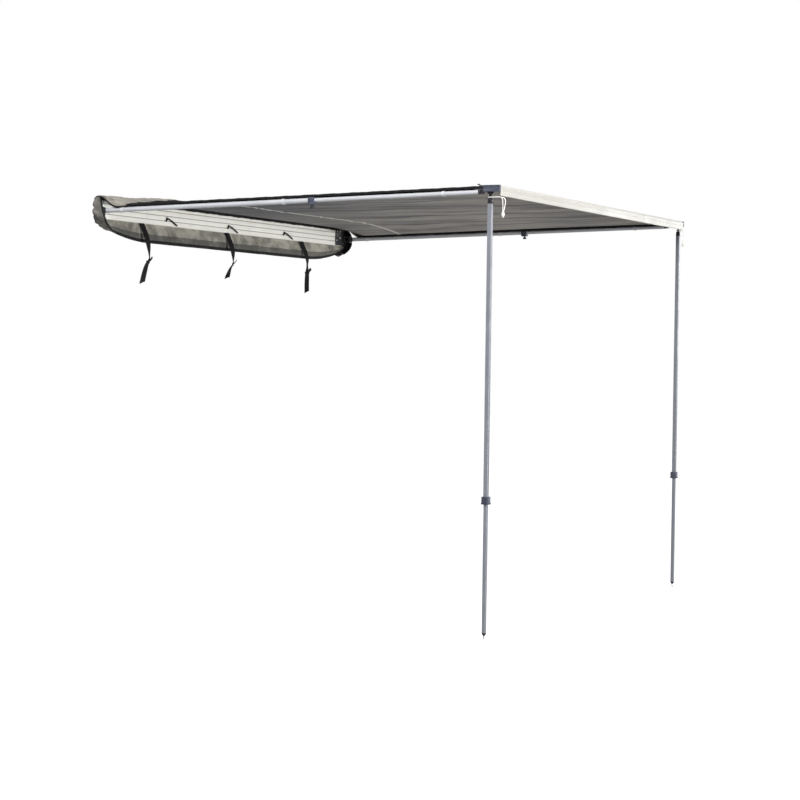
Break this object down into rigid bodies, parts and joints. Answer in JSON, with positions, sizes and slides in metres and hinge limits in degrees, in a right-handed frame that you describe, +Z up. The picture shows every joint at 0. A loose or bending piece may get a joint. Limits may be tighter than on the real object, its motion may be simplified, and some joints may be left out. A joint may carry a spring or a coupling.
{
  "type": "vehicle side awning",
  "caption": "Side awning for a roof rack, opened out: plate with soft cover, folding telescopic arms, front beam on telescopic poles, taut canopy.",
  "frame": {"origin": "centre of the backing plate's rear face, the face that lies against the roof rack", "axes": "+X along the case to the right as seen from the canopy side looking at the vehicle, +Y out of the rear face towards the vehicle, +Z up; the canopy reaches towards -Y"},
  "size_m": [2.6148, 2.0535, 1.9443],
  "materials": {
    "plate_paint": "cream-white powder coat, satin",
    "beam_paint": "off-white powder coat, satin",
    "black_plastic": "fine-grained black moulding",
    "slate_plastic": "dark slate moulding",
    "aluminium": "mill-finish drawn tube",
    "grey_plastic": "light grey moulding",
    "steel": "zinc-plated",
    "cover_cloth": "taupe coated cloth",
    "canopy_cloth": "taupe ripstop canopy cloth",
    "webbing": "black woven webbing and cord",
    "rope": "white braided cord",
    "rope_bead": "white plastic bead"
  },
  "bodies": {
    "root": {"backing_plate": "plate_paint", "end_bracket_left": "black_plastic", "end_bracket_right": "black_plastic", "arm_hinge_pin_left": "steel", "arm_hinge_pin_right": "steel", "cover_lower_flap": "cover_cloth", "cover_top_flap": "cover_cloth", "cover_end_panel_left": "cover_cloth", "cover_end_panel_right": "cover_cloth", "strap_left": "webbing", "strap_middle": "webbing", "strap_right": "webbing", "tie_left": "webbing", "tie_middle": "webbing", "tie_right": "webbing", "canopy": "canopy_cloth"},
    "beam": {"front_beam": "beam_paint", "beam_cap_left": "slate_plastic", "beam_cap_right": "slate_plastic", "pole_knuckle_left": "black_plastic", "pole_knuckle_right": "black_plastic", "pole_pivot_pin_left": "steel", "pole_pivot_pin_right": "steel", "guy_rope_left": "rope", "guy_rope_right": "rope", "guy_bead_left": "rope_bead", "guy_bead_right": "rope_bead"},
    "arm_left": {"arm_hinge_knuckle_left": "black_plastic", "arm_outer_tube_left": "aluminium", "arm_clamp_left": "slate_plastic", "arm_clip_inner_left": "grey_plastic", "arm_clip_middle_left": "grey_plastic"},
    "arm_left_inner": {"arm_inner_tube_left": "aluminium", "arm_clip_outer_left": "grey_plastic", "arm_hook_left": "black_plastic"},
    "arm_left_knob": {"arm_clamp_knob_left": "black_plastic"},
    "arm_right": {"arm_hinge_knuckle_right": "black_plastic", "arm_outer_tube_right": "aluminium", "arm_clamp_right": "slate_plastic", "arm_clip_inner_right": "grey_plastic", "arm_clip_middle_right": "grey_plastic"},
    "arm_right_inner": {"arm_inner_tube_right": "aluminium", "arm_clip_outer_right": "grey_plastic", "arm_hook_right": "black_plastic"},
    "arm_right_knob": {"arm_clamp_knob_right": "black_plastic"},
    "pole_left": {"pole_fork_left": "black_plastic", "pole_upper_tube_left": "aluminium", "pole_clamp_left": "slate_plastic"},
    "pole_left_lower": {"pole_lower_tube_left": "aluminium", "pole_foot_left": "black_plastic", "pole_spike_left": "steel"},
    "pole_left_lever": {"pole_clamp_lever_left": "slate_plastic"},
    "pole_right": {"pole_fork_right": "black_plastic", "pole_upper_tube_right": "aluminium", "pole_clamp_right": "slate_plastic"},
    "pole_right_lower": {"pole_lower_tube_right": "aluminium", "pole_foot_right": "black_plastic", "pole_spike_right": "steel"},
    "pole_right_lever": {"pole_clamp_lever_right": "slate_plastic"}
  },
  "joints": [
    {"name": "beam_slide", "type": "slide", "parent": "root", "child": "beam", "axis": [0, 0.9997, -0.0251], "range_m": [0, 0.6], "deforming": ["canopy"]},
    {"name": "arm_left_swing", "type": "hinge", "parent": "root", "child": "arm_left", "pos_m": [-1.235, -0.038, -0.012], "axis": [0, 0, 1], "range_deg": [0, 90]},
    {"name": "arm_left_slide", "type": "slide", "parent": "arm_left", "child": "arm_left_inner", "axis": [0, 0.9997, -0.0251], "range_m": [0, 0.6]},
    {"name": "arm_left_knob_turn", "type": "hinge", "parent": "arm_left", "child": "arm_left_knob", "pos_m": [-1.235, -1.13566, 0.01554], "axis": [0, 0.0251, 0.9997], "range_deg": [0, 180]},
    {"name": "arm_right_swing", "type": "hinge", "parent": "root", "child": "arm_right", "pos_m": [1.235, -0.066, -0.0113], "axis": [0, 0, -1], "range_deg": [0, 90]},
    {"name": "arm_right_slide", "type": "slide", "parent": "arm_right", "child": "arm_right_inner", "axis": [0, 0.9997, -0.0251], "range_m": [0, 0.6]},
    {"name": "arm_right_knob_turn", "type": "hinge", "parent": "arm_right", "child": "arm_right_knob", "pos_m": [1.235, -1.13566, 0.01554], "axis": [0, 0.0251, 0.9997], "range_deg": [0, 180]},
    {"name": "pole_left_fold", "type": "hinge", "parent": "beam", "child": "pole_left", "pos_m": [-1.22, -1.984, 0], "axis": [0, -1, 0], "range_deg": [0, 90]},
    {"name": "pole_left_slide", "type": "slide", "parent": "pole_left", "child": "pole_left_lower", "axis": [0, 0, 1], "range_m": [-0.12, 0.54]},
    {"name": "pole_left_lever_open", "type": "hinge", "parent": "pole_left", "child": "pole_left_lever", "pos_m": [-1.2378, -1.984, -1.2614], "axis": [0, 1, 0], "range_deg": [0, 100]},
    {"name": "pole_right_fold", "type": "hinge", "parent": "beam", "child": "pole_right", "pos_m": [1.22, -2.016, 0], "axis": [0, 1, 0], "range_deg": [0, 90]},
    {"name": "pole_right_slide", "type": "slide", "parent": "pole_right", "child": "pole_right_lower", "axis": [0, 0, 1], "range_m": [-0.12, 0.54]},
    {"name": "pole_right_lever_open", "type": "hinge", "parent": "pole_right", "child": "pole_right_lever", "pos_m": [1.2378, -2.016, -1.2614], "axis": [0, -1, 0], "range_deg": [0, 100]}
  ],
  "couplings": [
    {"joint": "arm_left_slide", "follows": "beam_slide", "ratio": 1},
    {"joint": "arm_right_slide", "follows": "beam_slide", "ratio": 1}
  ]
}
